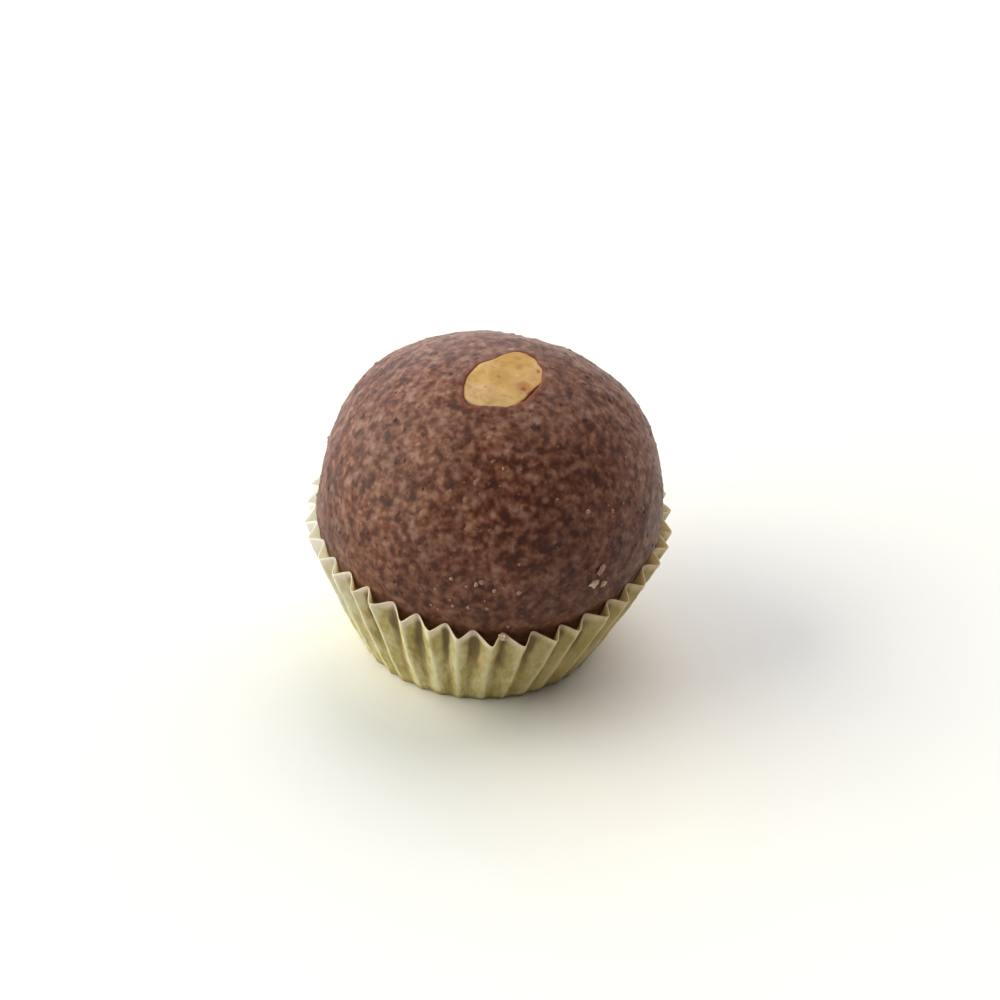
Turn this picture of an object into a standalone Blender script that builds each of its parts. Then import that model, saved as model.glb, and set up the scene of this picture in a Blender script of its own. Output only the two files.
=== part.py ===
"""A ladoo: a hand-rolled ball of coarse sweet meal with half a nut pressed into its crown,
seated in a fluted paper case. Metres, +Z up, origin at the middle of the case's flat base,
-Y towards the front."""

import math
import random

import bmesh
import bpy
from mathutils import Matrix, Vector, noise

# Ball of meal
BALL_RADIUS = 0.02349
BALL_CENTRE = Vector((0.0008, 0.0, 0.0213))
BALL_SUBDIVISIONS = 5
# Where hand rolling left the ball out of round: azimuth from +X and elevation in degrees,
# height in metres, spread in degrees.
BALL_LUMPS = (
    (147, 34, 0.00062, 17),   # rear left shoulder
    (22, 25, 0.00050, 17),    # rear right shoulder
    (74, 50, -0.00078, 20),   # flattened behind the nut
    (172, 9, -0.00045, 11),   # left flank
    (-66, 83, -0.00045, 17),  # pressed round the nut
    (262, 22, 0.00020, 22),   # front
    (86, 16, 0.00035, 20),    # rear
)
CRAG_HEIGHT = 0.00022
CRAG_SIZE = 0.0031

# Coarse grains of meal, and the chips of nut among them
GRAIN_COUNT = 52
GRAIN_RADII = (0.0006, 0.0009)
GRAIN_PROUD = 0.00022         # how far a grain stands out of the skin
GRAIN_LOWEST = 0.0205         # height above which grains show
GRAIN_SPACING = 0.0036
GRAIN_STRETCH = (0.85, 1.2)
GRAIN_SEED = 11
GRAIN_TRIES = 6000
CHIP_STRETCH = 1.25
CHIP_PROUD = 0.00034
CHIPS = (                     # azimuth, elevation, radius
    (-50, 4.5, 0.00105),
    (-47, -0.5, 0.00085),
    (128, 38, 0.00095),
)

# Half nut, cut face up
NUT_TILT_AZIMUTH = -66.0
NUT_ELEVATION = 82.8
NUT_LONG_AXIS = 51.0          # turn of its long axis about its own upright
NUT_HALF_LENGTH = 0.0063
NUT_HALF_WIDTH = 0.0042
NUT_DEPTH = 0.0036
NUT_FACE_DROP = 0.00055       # the face's rim below the ball's round surface at its middle
NUT_BLUNTNESS = 2.3           # 2 is a true oval, more is squarer
NUT_SIDES = 28
NUT_PROFILE = (               # share of the outline, share of the depth below the face's rim
    (0.45, -0.055),
    (0.82, -0.03),
    (0.96, 0.02),
    (1.00, 0.10),
    (0.97, 0.34),
    (0.84, 0.66),
    (0.52, 0.92),
)
NUT_WIDEST = 3                # the profile's widest ring
NUT_CROWN = 0.00022           # the face's middle above its rim
POCKET_TOP = 0.003            # the pocket's cutter above the nut's face

# Paper case
FLUTES = 38
FLUTE_PHASE = -3.6            # azimuth of one inner fold from the front, in degrees
POINTS_PER_FLUTE = 6
PAPER = 0.0004
BASE_INNER_RADIUS = 0.0160    # inner folds at the floor
BASE_OUTER_RADIUS = 0.0164    # outer folds at the floor
RIM_INNER_RADIUS = 0.0238
RIM_FLUTE_DEPTH = 0.0013
RIM_CENTRE_X = 0.0007         # the rim leans a little to one side
RIM_HEIGHT = 0.0196
RIM_DIP = 0.0026              # the rim's lowest stretch, front right
RIM_DIP_AZIMUTH = 14.0
RIM_DIP_SPREAD = 38.0
RIM_FOLD_DROP = 0.0008        # outer folds lean out further, so they end lower
WALL_LEVELS = (0.0, 0.2, 0.45, 0.72, 0.9, 1.0)
INNER_BOW = 0.25
OUTER_BOW = 0.15
FOLD_ROUNDNESS = 0.75         # 1 is a plain sine, less gives fuller outer folds
CORNER = 0.0003               # bevel round the foot of the wall

GAP = 0.0003                  # clearance between neighbouring pieces


def clear_scene():
    for item in list(bpy.data.objects):
        bpy.data.objects.remove(item, do_unlink=True)


def material(name, colour, roughness):
    made = bpy.data.materials.new(name)
    made.use_nodes = True
    shader = made.node_tree.nodes["Principled BSDF"]
    shader.inputs["Base Color"].default_value = (*colour, 1.0)
    shader.inputs["Roughness"].default_value = roughness
    shader.inputs["Metallic"].default_value = 0.0
    return made


def add_object(name, bm, finish):
    mesh = bpy.data.meshes.new(name)
    bmesh.ops.recalc_face_normals(bm, faces=bm.faces)
    bm.to_mesh(mesh)
    bm.free()
    mesh.shade_smooth()
    if finish:
        mesh.materials.append(finish)
    item = bpy.data.objects.new(name, mesh)
    bpy.context.scene.collection.objects.link(item)
    return item


def direction(azimuth, elevation):
    a = math.radians(azimuth)
    e = math.radians(elevation)
    return Vector((math.cos(a) * math.cos(e), math.sin(a) * math.cos(e), math.sin(e)))


def skin(bm, rings, first_point, last_point):
    """Joins rings of equal count into one closed skin, capped by a fan at each end."""
    rows = [[bm.verts.new(point) for point in ring] for ring in rings]
    count = len(rows[0])
    start = bm.verts.new(first_point)
    end = bm.verts.new(last_point)
    for i in range(count):
        j = (i + 1) % count
        bm.faces.new((start, rows[0][j], rows[0][i]))
        bm.faces.new((end, rows[-1][i], rows[-1][j]))
        for low, high in zip(rows, rows[1:]):
            bm.faces.new((low[i], low[j], high[j], high[i]))


# The paper case's shape

def bowed(share, bow):
    return (1 + bow) * share - bow * share * share


def rim_dip(azimuth):
    """1 where the rim dips most, falling to 0 to either side."""
    off = (azimuth - RIM_DIP_AZIMUTH + 180) % 360 - 180
    return math.exp(-((off / RIM_DIP_SPREAD) ** 2))


def rim_height(azimuth):
    return RIM_HEIGHT - RIM_DIP * rim_dip(azimuth)


def inner_fold_radius(share):
    return BASE_INNER_RADIUS + (RIM_INNER_RADIUS - BASE_INNER_RADIUS) * bowed(share, INNER_BOW)


def fold_shape(azimuth):
    """0 on a sharp inner fold, 1 on a round outer fold."""
    turn = (azimuth - FLUTE_PHASE) * FLUTES / 360
    return abs(math.sin(math.pi * turn)) ** FOLD_ROUNDNESS


def flute_depth(azimuth):
    a = math.radians(azimuth)
    return RIM_FLUTE_DEPTH * (1 + 0.35 * rim_dip(azimuth) + 0.08 * math.sin(11 * a + 2.1))


def wall_point(azimuth, share):
    """A point of the paper's middle surface, share of the way from floor to rim."""
    a = math.radians(azimuth)
    fold = fold_shape(azimuth)
    height = rim_height(azimuth) - RIM_FOLD_DROP * fold
    rim_outer = RIM_INNER_RADIUS + flute_depth(azimuth)
    inner = inner_fold_radius(share)
    outer = BASE_OUTER_RADIUS + (rim_outer - BASE_OUTER_RADIUS) * bowed(share, OUTER_BOW)
    radius = inner + (outer - inner) * fold
    x = RIM_CENTRE_X * share + radius * math.sin(a)
    return Vector((x, -radius * math.cos(a), height * share))


def wall_ring(share, side):
    """One closed ring of the wall, half the paper's thickness to the outside (side 1) or the
    inside (side -1) of its middle surface, measured square to the folds."""
    count = FLUTES * POINTS_PER_FLUTE
    middle = [wall_point(FLUTE_PHASE + 360 * i / count, share) for i in range(count)]
    ring = []
    for i, point in enumerate(middle):
        along = middle[(i + 1) % count] - middle[i - 1]
        outward = Vector((-along.y, along.x, 0)).normalized()
        if outward.dot(Vector((point.x, point.y, 0))) < 0:
            outward.negate()
        ring.append(point + outward * side * PAPER / 2)
    return ring


def paper_case(finish):
    floor_low = [Vector((p.x, p.y, 0)) * (1 - CORNER / BASE_OUTER_RADIUS) for p in wall_ring(0, 1)]
    outside = [wall_ring(share, 1) for share in WALL_LEVELS]
    outside[0] = [p + Vector((0, 0, CORNER)) for p in outside[0]]
    inside = [wall_ring(share, -1) for share in reversed(WALL_LEVELS)]
    inside[-1] = [Vector((p.x, p.y, PAPER)) for p in inside[-1]]
    bm = bmesh.new()
    skin(bm, [floor_low, *outside, *inside], (0, 0, 0), (0, 0, PAPER))
    return add_object("paper_case", bm, finish)


# The ball's shape

def lump_height(way):
    total = 0.0
    for azimuth, elevation, height, spread in BALL_LUMPS:
        off = math.degrees(way.angle(direction(azimuth, elevation)))
        total += height * math.exp(-((off / spread) ** 2))
    return total


def ball_point(way):
    """The skin of the rolled ball in one direction from its centre, before it is seated."""
    crag = noise.noise(way * (BALL_RADIUS / CRAG_SIZE)) * CRAG_HEIGHT
    return BALL_CENTRE + way * (BALL_RADIUS + lump_height(way) + crag)


def seated(point):
    """The case's floor presses the ball flat, and its inner folds press the flank in."""
    point.z = max(point.z, PAPER + GAP)
    azimuth = math.degrees(math.atan2(point.x, -point.y))
    rim = rim_height(azimuth)
    share = min(point.z / rim, 1.0)
    axis = Vector((RIM_CENTRE_X * share, 0, point.z))
    room = inner_fold_radius(share) - PAPER / 2 - GAP + max(point.z - rim, 0.0)
    reach = point - axis
    if reach.length > room:
        point = axis + reach * (room / reach.length)
    return point


def add_grain(name, way, radius, proud, stretch):
    """A lumpy grain sunk in the ball's skin."""
    middle = ball_point(way) - way * (radius - proud)
    turn = way.to_track_quat("Z", "Y").to_matrix().to_4x4()
    spin = Matrix.Rotation(way.x * math.tau, 4, "Z")
    shape = Matrix.Diagonal((stretch, 1 / stretch, 1.0, 1.0))
    bm = bmesh.new()
    where = Matrix.Translation(middle) @ turn @ spin @ shape
    bmesh.ops.create_icosphere(bm, subdivisions=1, radius=radius, matrix=where)
    return add_object(name, bm, None)


def grain_places():
    """Direction, radius, height and stretch of grains spread evenly over the part of the ball
    that shows, clear of the nut."""
    rng = random.Random(GRAIN_SEED)
    nut_way = direction(NUT_TILT_AZIMUTH, NUT_ELEVATION)
    nut_clear = (NUT_HALF_LENGTH + 2 * GRAIN_RADII[1]) / BALL_RADIUS
    kept = [(direction(a, e), radius, CHIP_PROUD, CHIP_STRETCH) for a, e, radius in CHIPS]
    tries = 0
    while len(kept) < GRAIN_COUNT + len(CHIPS) and tries < GRAIN_TRIES:
        tries += 1
        up = rng.uniform((GRAIN_LOWEST - BALL_CENTRE.z) / BALL_RADIUS, 1)
        across = math.sqrt(1 - up * up)
        turn = rng.uniform(0, math.tau)
        way = Vector((across * math.cos(turn), across * math.sin(turn), up))
        radius = rng.uniform(*GRAIN_RADII)
        apart = min(way.angle(other[0]) for other in kept) * BALL_RADIUS
        if way.angle(nut_way) > nut_clear and apart > GRAIN_SPACING:
            kept.append((way, radius, GRAIN_PROUD, rng.uniform(*GRAIN_STRETCH)))
    return kept


def fuse_grains(ball):
    """One union joins every grain to the ball."""
    heap = bpy.data.collections.new("grains")
    bpy.context.scene.collection.children.link(heap)
    for index, place in enumerate(grain_places()):
        piece = add_grain(f"grain_{index}", *place)
        bpy.context.scene.collection.objects.unlink(piece)
        heap.objects.link(piece)
    union = ball.modifiers.new("grains", "BOOLEAN")
    union.operation = "UNION"
    union.operand_type = "COLLECTION"
    union.collection = heap
    union.solver = "EXACT"
    graph = bpy.context.evaluated_depsgraph_get()
    fused = bpy.data.meshes.new_from_object(ball.evaluated_get(graph))
    ball.modifiers.clear()
    ball.data = fused
    for piece in list(heap.objects):
        bpy.data.objects.remove(piece, do_unlink=True)
    bpy.data.collections.remove(heap)


def ladoo_ball(finish, pocket):
    bm = bmesh.new()
    bmesh.ops.create_icosphere(bm, subdivisions=BALL_SUBDIVISIONS, radius=1.0)
    for vert in bm.verts:
        vert.co = seated(ball_point(vert.co.normalized()))
    ball = add_object("ladoo_ball", bm, finish)
    fuse_grains(ball)
    cut = ball.modifiers.new("pocket", "BOOLEAN")
    cut.operation = "DIFFERENCE"
    cut.object = pocket
    cut.solver = "EXACT"
    return ball


# The nut's shape

def nut_outline(angle):
    """Distance from the nut's middle to its edge: an oval, blunter at one end."""
    along = math.cos(angle) / NUT_HALF_LENGTH
    across = math.sin(angle) / NUT_HALF_WIDTH
    oval = (abs(along) ** NUT_BLUNTNESS + abs(across) ** NUT_BLUNTNESS) ** (-1 / NUT_BLUNTNESS)
    return oval * (1 + 0.03 * math.cos(angle) + 0.025 * math.cos(3 * angle + 0.8))


def nut_ring(share, height, margin):
    angles = [math.tau * i / NUT_SIDES for i in range(NUT_SIDES)]
    reach = [nut_outline(a) * share + margin for a in angles]
    return [Vector((r * math.cos(a), r * math.sin(a), height)) for r, a in zip(reach, angles)]


def nut_place():
    way = direction(NUT_TILT_AZIMUTH, NUT_ELEVATION)
    upright = Vector((0, 0, 1)).rotation_difference(way).to_matrix().to_4x4()
    surface = BALL_CENTRE + way * (BALL_RADIUS + lump_height(way))
    turn = Matrix.Rotation(math.radians(NUT_LONG_AXIS), 4, "Z")
    return Matrix.Translation(surface - way * NUT_FACE_DROP) @ upright @ turn


def nut_half(finish):
    bm = bmesh.new()
    rings = [nut_ring(share, -deep * NUT_DEPTH, 0.0) for share, deep in NUT_PROFILE]
    skin(bm, rings, (0, 0, NUT_CROWN), (0, 0, -NUT_DEPTH))
    bm.transform(nut_place())
    return add_object("nut_half", bm, finish)


def nut_pocket():
    """The nut's own form, larger by the clearance and open through the ball's skin."""
    bm = bmesh.new()
    widest, widest_deep = NUT_PROFILE[NUT_WIDEST]
    rings = [nut_ring(widest, POCKET_TOP, GAP), nut_ring(widest, -widest_deep * NUT_DEPTH, GAP)]
    for share, deep in NUT_PROFILE[NUT_WIDEST + 1:]:
        rings.append(nut_ring(share, -deep * NUT_DEPTH - GAP, GAP))
    skin(bm, rings, (0, 0, POCKET_TOP), (0, 0, -NUT_DEPTH - GAP))
    bm.transform(nut_place())
    pocket = add_object("nut_pocket", bm, None)
    pocket.hide_render = True
    pocket.display_type = "WIRE"
    return pocket


def main():
    clear_scene()
    meal = material("meal", (0.165, 0.085, 0.070), 0.85)
    nut = material("nut", (0.72, 0.52, 0.25), 0.55)
    paper = material("paper", (0.52, 0.47, 0.28), 0.75)
    paper_case(paper)
    nut_half(nut)
    ladoo_ball(meal, nut_pocket())


main()
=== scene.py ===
import math

import bmesh
import bpy
from mathutils import Matrix, Vector, noise


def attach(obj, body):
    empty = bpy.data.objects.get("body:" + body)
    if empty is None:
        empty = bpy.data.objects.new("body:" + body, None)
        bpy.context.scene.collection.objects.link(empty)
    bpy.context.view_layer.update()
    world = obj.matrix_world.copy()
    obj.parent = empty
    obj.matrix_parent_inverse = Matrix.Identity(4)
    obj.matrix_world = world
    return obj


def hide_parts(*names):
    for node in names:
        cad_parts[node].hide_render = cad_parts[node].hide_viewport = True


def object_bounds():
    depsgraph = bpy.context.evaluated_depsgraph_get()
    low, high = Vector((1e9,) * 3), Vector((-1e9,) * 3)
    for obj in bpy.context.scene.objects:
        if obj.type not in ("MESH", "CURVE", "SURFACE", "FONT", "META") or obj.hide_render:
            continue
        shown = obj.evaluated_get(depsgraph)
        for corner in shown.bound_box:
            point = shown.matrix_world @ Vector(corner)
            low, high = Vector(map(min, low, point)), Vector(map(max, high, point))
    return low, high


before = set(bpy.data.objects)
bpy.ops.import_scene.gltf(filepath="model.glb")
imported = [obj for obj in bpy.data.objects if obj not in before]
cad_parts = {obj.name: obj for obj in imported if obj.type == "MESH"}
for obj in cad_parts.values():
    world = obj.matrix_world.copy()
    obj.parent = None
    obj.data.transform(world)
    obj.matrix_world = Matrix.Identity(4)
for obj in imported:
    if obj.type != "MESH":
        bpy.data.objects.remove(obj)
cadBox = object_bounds()

# A rolled ball of meal with half a nut in its crown, in a fluted paper case.
# Metres, +Z up, the case's base on z = 0, -Y towards the front.

ballLook = {
    "radius": 0.02349,
    "centre": Vector((0.0008, 0.0, 0.0213)),
    "frequency": 96,             # how finely the skin is cut
    "shown": 0.70,               # less gives more of the cuts to the part that shows
    "cragHeight": 0.00022,
    "cragSize": 0.0031,
    "seatGap": 0.00004,
    "seatBand": 0.0006,          # the skin has no relief this near its seat
    "paperGap": 0.0001,
    "swelling": 0.0004,          # how far the ball swells into the case's outer folds
    "heldFrom": 0.0002,          # the painted light through the paper starts this far over the rim
    "heldBand": 0.0026,          # and is full this much lower
    # out of round: azimuth from +X and elevation in degrees, height in metres, spread in degrees
    "lumps": (
        (147, 34, 0.00062, 17), (22, 25, 0.00050, 17), (74, 50, -0.00078, 20),
        (172, 9, -0.00045, 11), (-66, 83, -0.00045, 17), (262, 22, 0.00020, 22),
        (86, 16, 0.00035, 20),
    ),
}

nutLook = {
    "azimuth": -66.0,
    "elevation": 82.8,
    "longAxis": 51.0,
    "middle": (0.00002, 0.00011),
    "depth": 0.0036,
    "faceDrop": 0.00017,
    "lengthwiseBend": 0.034,     # radii that the cut face bends with
    "crosswiseBend": 0.060,
    "edgeRound": 0.00009,
    "edgeFrom": 0.93,            # share of the reach where the face starts to round off
    "step": 0.0004,              # from the rounded edge down to the underside's first ring
    "driftSize": 0.0024,         # sizes of the broad tones, the marks' ragged edges and the flecks
    "waverSize": 0.0008,
    "waver": 0.0009,
    "fleckSize": 0.0011,
    # angle about the middle in degrees, and reach in millimetres
    "outline": (
        (0, 6.4), (20, 6.3), (37, 5.15), (52, 4.2), (70, 3.86), (90, 4.08), (113, 4.27),
        (139, 5.12), (155, 5.78), (168, 6.4), (178, 6.5), (190, 6.15), (205, 5.65), (222, 5.5),
        (238, 5.18), (254, 4.7), (272, 4.3), (292, 4.4), (310, 5.1), (324, 5.4), (337, 5.85),
        (348, 6.0),
    ),
    # share of the outline and share of the depth, from the rim of the face down to the tip
    "underside": ((1.0, 0.10), (0.995, 0.20), (0.97, 0.34), (0.92, 0.50), (0.84, 0.66),
                  (0.70, 0.81), (0.52, 0.92), (0.28, 0.98), (0.0, 1.0)),
    "sides": 200,
    "faceRings": 34,
    # dents in the cut face: stretch across, where in the noise they are cut, size and depth
    "dents": ((1.6, 0.0, 0.0024, 0.00007), (1.0, 0.01, 0.0006, 0.00002)),
}


def linear(red, green, blue):
    # screen values of 0 to 255 as the linear ones that shaders use
    shares = [value / 255 for value in (red, green, blue)]
    return [s / 12.92 if s <= 0.04045 else ((s + 0.055) / 1.055) ** 2.4 for s in shares]


def direction(azimuth, elevation):
    a = math.radians(azimuth)
    e = math.radians(elevation)
    return Vector((math.cos(a) * math.cos(e), math.sin(a) * math.cos(e), math.sin(e)))


def anglesOf(count):
    return [math.tau * i / count for i in range(count)]


def placed(name, data):
    made = bpy.data.objects.new(name, data)
    bpy.context.scene.collection.objects.link(made)
    return made


def meshOf(name, bm):
    mesh = bpy.data.meshes.new(name)
    bm.to_mesh(mesh)
    bm.free()
    return mesh


# Node trees are put together with these

def between(operation, turned=False):
    # the method of a signal that works an operation out between it and another value
    def method(self, other):
        work = vectorCalc if self.socket.type in ("VECTOR", "RGBA") else calc
        return work(operation, other, self) if turned else work(operation, self, other)
    return method


class Signal:
    # a node's output: a formula between signals and numbers adds the nodes that work it out

    def __init__(self, socket):
        self.socket = socket
        self.tree = socket.id_data

    __add__ = between("ADD")
    __sub__ = between("SUBTRACT")
    __rsub__ = between("SUBTRACT", turned=True)
    __mul__ = between("MULTIPLY")
    __truediv__ = between("DIVIDE")


def feed(socket, value):
    if isinstance(value, Signal):
        value = value.socket
    if isinstance(value, bpy.types.NodeSocket):
        socket.id_data.links.new(value, socket)
    else:
        socket.default_value = value


def put(tree, kind, settings=None, **values):
    node = tree.nodes.new(kind)
    for name, value in (settings or {}).items():
        setattr(node, name, value)
    for name, value in values.items():
        feed(node.inputs[name.replace("_", " ")], value)
    return node


def putFor(values, kind, settings):
    # a node in the tree that the values come from, with the values on its first inputs
    tree = next(value.tree for value in values if isinstance(value, Signal))
    node = put(tree, kind, settings)
    for socket, value in zip(node.inputs, values):
        feed(socket, value)
    return node


def calc(operation, *values):
    return Signal(putFor(values, "ShaderNodeMath", {"operation": operation}).outputs[0])


def vectorCalc(operation, *values):
    node = putFor(values, "ShaderNodeVectorMath", {"operation": operation})
    return Signal(node.outputs["Value" if operation in ("DISTANCE", "DOT_PRODUCT") else "Vector"])


def scaled(vector, factor):
    node = put(vector.tree, "ShaderNodeVectorMath", {"operation": "SCALE"}, Vector=vector,
               Scale=factor)
    return Signal(node.outputs["Vector"])


def axes(vector):
    node = put(vector.tree, "ShaderNodeSeparateXYZ", Vector=vector)
    return [Signal(output) for output in node.outputs]


def joined(*values):
    return Signal(putFor(values, "ShaderNodeCombineXYZ", {}).outputs[0])


def remap(value, low, high, toLow=0.0, toHigh=1.0, smooth=False):
    settings = {"interpolation_type": "SMOOTHSTEP" if smooth else "LINEAR"}
    node = put(value.tree, "ShaderNodeMapRange", settings, Value=value, From_Min=low,
               From_Max=high, To_Min=toLow, To_Max=toHigh)
    return Signal(node.outputs["Result"])


def blend(share, first, second, mode="MIX"):
    values = [colour if isinstance(colour, Signal) else (*colour, 1.0) for colour in (first, second)]
    tree = next(value.tree for value in (share, *values) if isinstance(value, Signal))
    node = put(tree, "ShaderNodeMix", {"data_type": "RGBA", "blend_type": mode})
    for index, value in zip((0, 6, 7), (share, *values)):
        feed(node.inputs[index], value)
    return Signal(node.outputs[2])


def tinted(colour, paint, value, low, high, most=1.0, smooth=False):
    # paint over a colour, from none where the value is low to the most where it is high
    return blend(remap(value, low, high, 0.0, most, smooth), colour, paint)


def filtered(colour, tint):
    return blend(1.0, colour, tint, "MULTIPLY")


def ramp(value, stops):
    node = put(value.tree, "ShaderNodeValToRGB", Fac=value)
    elements = node.color_ramp.elements
    while len(elements) < len(stops):
        elements.new(0.5)
    for element, (place, colour) in zip(elements, stops):
        element.position = place
        element.color = (*colour, 1.0)
    return Signal(node.outputs["Color"])


def noiseAt(vector, size, detail=2.0, roughness=0.5, output="Fac"):
    node = put(vector.tree, "ShaderNodeTexNoise", Vector=vector, Scale=1.0 / size, Detail=detail,
               Roughness=roughness)
    return Signal(node.outputs[output])


def wobble(vector, size):
    return noiseAt(vector, size, output="Color") - (0.5, 0.5, 0.5)


def cellsAt(vector, size, soft=0.0):
    # distance from a cell's middle, and three random numbers for each cell
    kind = {"feature": "SMOOTH_F1" if soft else "F1"}
    cells = put(vector.tree, "ShaderNodeTexVoronoi", kind, Vector=vector, Scale=1.0 / size)
    if soft:
        cells.inputs["Smoothness"].default_value = soft
    return Signal(cells.outputs["Distance"]), axes(Signal(cells.outputs["Color"]))


def drawnFrom(tree, value):
    node = put(tree, "ShaderNodeTexWhiteNoise", {"noise_dimensions": "1D"}, W=value)
    return Signal(node.outputs["Value"]), Signal(node.outputs["Color"])


def objectPlace(tree):
    return Signal(put(tree, "ShaderNodeTexCoord").outputs["Object"])


def attribute(tree, name, output="Fac"):
    return Signal(put(tree, "ShaderNodeAttribute", {"attribute_name": name}).outputs[output])


def newFinish(name):
    made = bpy.data.materials.new(name)
    made.use_nodes = True
    tree = made.node_tree
    return made, tree, tree.nodes["Principled BSDF"]


def setFinish(shader, colour, height, strength, distance, **values):
    # colour, bumps of this strength and distance, and whatever else the finish sets
    bump = put(colour.tree, "ShaderNodeBump", Strength=strength, Distance=distance, Height=height)
    for name, value in values.items():
        feed(shader.inputs[name.replace("_", " ")], value)
    feed(shader.inputs["Base Color"], colour)
    feed(shader.inputs["Normal"], bump.outputs["Normal"])


def newTree(name, sizes):
    # a Geometry Nodes tree with a named input for each size
    tree = bpy.data.node_groups.new(name, "GeometryNodeTree")
    for side in ("INPUT", "OUTPUT"):
        tree.interface.new_socket("Geometry", in_out=side, socket_type="NodeSocketGeometry")
    for size, value in sizes.items():
        kind = "NodeSocketInt" if isinstance(value, int) else "NodeSocketFloat"
        tree.interface.new_socket(size, in_out="INPUT", socket_type=kind)
    given = tree.nodes.new("NodeGroupInput").outputs
    return tree, {size: Signal(given[size]) for size in ("Geometry", *sizes)}


def closeTree(tree, geometry, finish):
    smooth = put(tree, "GeometryNodeSetShadeSmooth", Geometry=geometry)
    real = put(tree, "GeometryNodeRealizeInstances", Geometry=smooth.outputs["Geometry"])
    dressed = put(tree, "GeometryNodeSetMaterial", Geometry=real.outputs["Geometry"],
                  Material=finish)
    put(tree, "NodeGroupOutput", Geometry=dressed.outputs["Geometry"])


def position(tree):
    return Signal(put(tree, "GeometryNodeInputPosition").outputs[0])


def named(tree, name):
    node = put(tree, "GeometryNodeInputNamedAttribute", {"data_type": "FLOAT"}, Name=name)
    return Signal(node.outputs["Attribute"])


def stored(tree, geometry, name, value):
    node = put(tree, "GeometryNodeStoreNamedAttribute", {"data_type": "FLOAT", "domain": "POINT"},
               Geometry=geometry, Name=name, Value=value)
    return node.outputs["Geometry"]


def moved(tree, geometry, **values):
    return put(tree, "GeometryNodeSetPosition", Geometry=geometry, **values).outputs["Geometry"]


def grown(name, host, tree, sizes, extra=None):
    # runs a tree on a copy of the host's mesh and keeps the result as a plain mesh
    start = bpy.data.meshes.new(name + "Host") if host is None else host.data
    carrier = placed(name + "Carrier", start)
    modifier = carrier.modifiers.new("nodes", "NODES")
    modifier.node_group = tree
    for item in tree.interface.items_tree:
        if item.in_out == "INPUT" and item.name in sizes:
            modifier[item.identifier] = sizes[item.name]
    if extra:
        extra(carrier)
    graph = bpy.context.evaluated_depsgraph_get()
    mesh = bpy.data.meshes.new_from_object(carrier.evaluated_get(graph))
    carrier.modifiers.clear()
    bpy.data.objects.remove(carrier)
    mesh.name = name
    print(name, len(mesh.polygons), "faces")
    return placed(name, mesh)


# Camera, light and floor

viewLook = {
    "target": Vector((0.00219, 0.02803, 0.0)),
    "distance": 0.688,
    "elevation": 37.632,
    "roll": 2.723,
    "lens": 173.56,
}


def makeCamera():
    rise = math.radians(viewLook["elevation"])
    back = Vector((0, -math.cos(rise), math.sin(rise)))
    data = bpy.data.cameras.new("camera")
    data.lens = viewLook["lens"]
    data.sensor_width = 36
    data.clip_start = 0.01
    camera = placed("camera", data)
    camera.location = viewLook["target"] + back * viewLook["distance"]
    turn = (-back).to_track_quat("-Z", "Y").to_matrix()
    roll = Matrix.Rotation(math.radians(viewLook["roll"]), 3, "Z")
    camera.rotation_euler = (turn @ roll).to_euler()
    bpy.context.scene.camera = camera


lightLook = {
    # azimuth from +X and elevation in degrees, strength, colour
    "lamps": {
        "left": (180, 25, 3.46, (0.977, 1.0, 0.85)),
        "back": (120, 25, 1.44, (0.62, 0.81, 1.0)),
        "above": (60, 52, 1.85, (1.0, 0.914, 0.805)),
    },
    "across": 60,                # degrees that each lamp fills of the sky, which softens shadows
    "sky": (1.0, 1.0, 1.0),
    "skyStrength": 0.19,
    "floorColour": linear(241, 240, 240),
}


def makeLights():
    for name, (azimuth, elevation, strength, colour) in lightLook["lamps"].items():
        data = bpy.data.lights.new(name, "SUN")
        data.energy = strength
        data.angle = math.radians(lightLook["across"])
        data.color = colour
        lamp = placed(name, data)
        lamp.rotation_euler = direction(azimuth, elevation).to_track_quat("Z", "Y").to_euler()
    world = bpy.data.worlds.new("sky")
    world.use_nodes = True
    shade = world.node_tree.nodes["Background"]
    shade.inputs["Color"].default_value = (*lightLook["sky"], 1.0)
    shade.inputs["Strength"].default_value = lightLook["skyStrength"]
    bpy.context.scene.world = world
    bpy.context.scene.view_settings.view_transform = "Standard"


def makeFloor():
    finish, _, shader = newFinish("paleFloor")
    shader.inputs["Base Color"].default_value = (*lightLook["floorColour"], 1.0)
    shader.inputs["Roughness"].default_value = 0.85
    bm = bmesh.new()
    bmesh.ops.create_grid(bm, x_segments=1, y_segments=1, size=3.0)
    floor = placed("floor", meshOf("floor", bm))
    floor.data.materials.append(finish)


makeCamera()
makeLights()
makeFloor()
print("camera, light and floor made")


# The nut's place and outline, which the pocket in the ball follows too

def lumpHeight(way):
    total = 0.0
    for azimuth, elevation, height, spread in ballLook["lumps"]:
        off = math.degrees(way.angle(direction(azimuth, elevation)))
        total += height * math.exp(-((off / spread) ** 2))
    return total


def smoothOutline():
    # reach in metres at each whole degree, on a closed curve through the outline's points
    points = nutLook["outline"]
    count = len(points)
    table = []
    for degree in range(360):
        i = max(k for k in range(count) if points[k][0] <= degree)
        before, start, stop, after = (points[(i + k) % count] for k in (-1, 0, 1, 2))
        span = (stop[0] - start[0]) % 360
        part = (degree - start[0]) / span
        leave = (stop[1] - before[1]) / ((stop[0] - before[0]) % 360) * span
        meet = (after[1] - start[1]) / ((after[0] - start[0]) % 360) * span
        square = part * part
        cube = square * part
        reach = start[1] * (2 * cube - 3 * square + 1) + leave * (cube - 2 * square + part)
        reach += stop[1] * (3 * square - 2 * cube) + meet * (cube - square)
        table.append(reach * 0.001)
    return table


outlineTable = smoothOutline()


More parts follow.
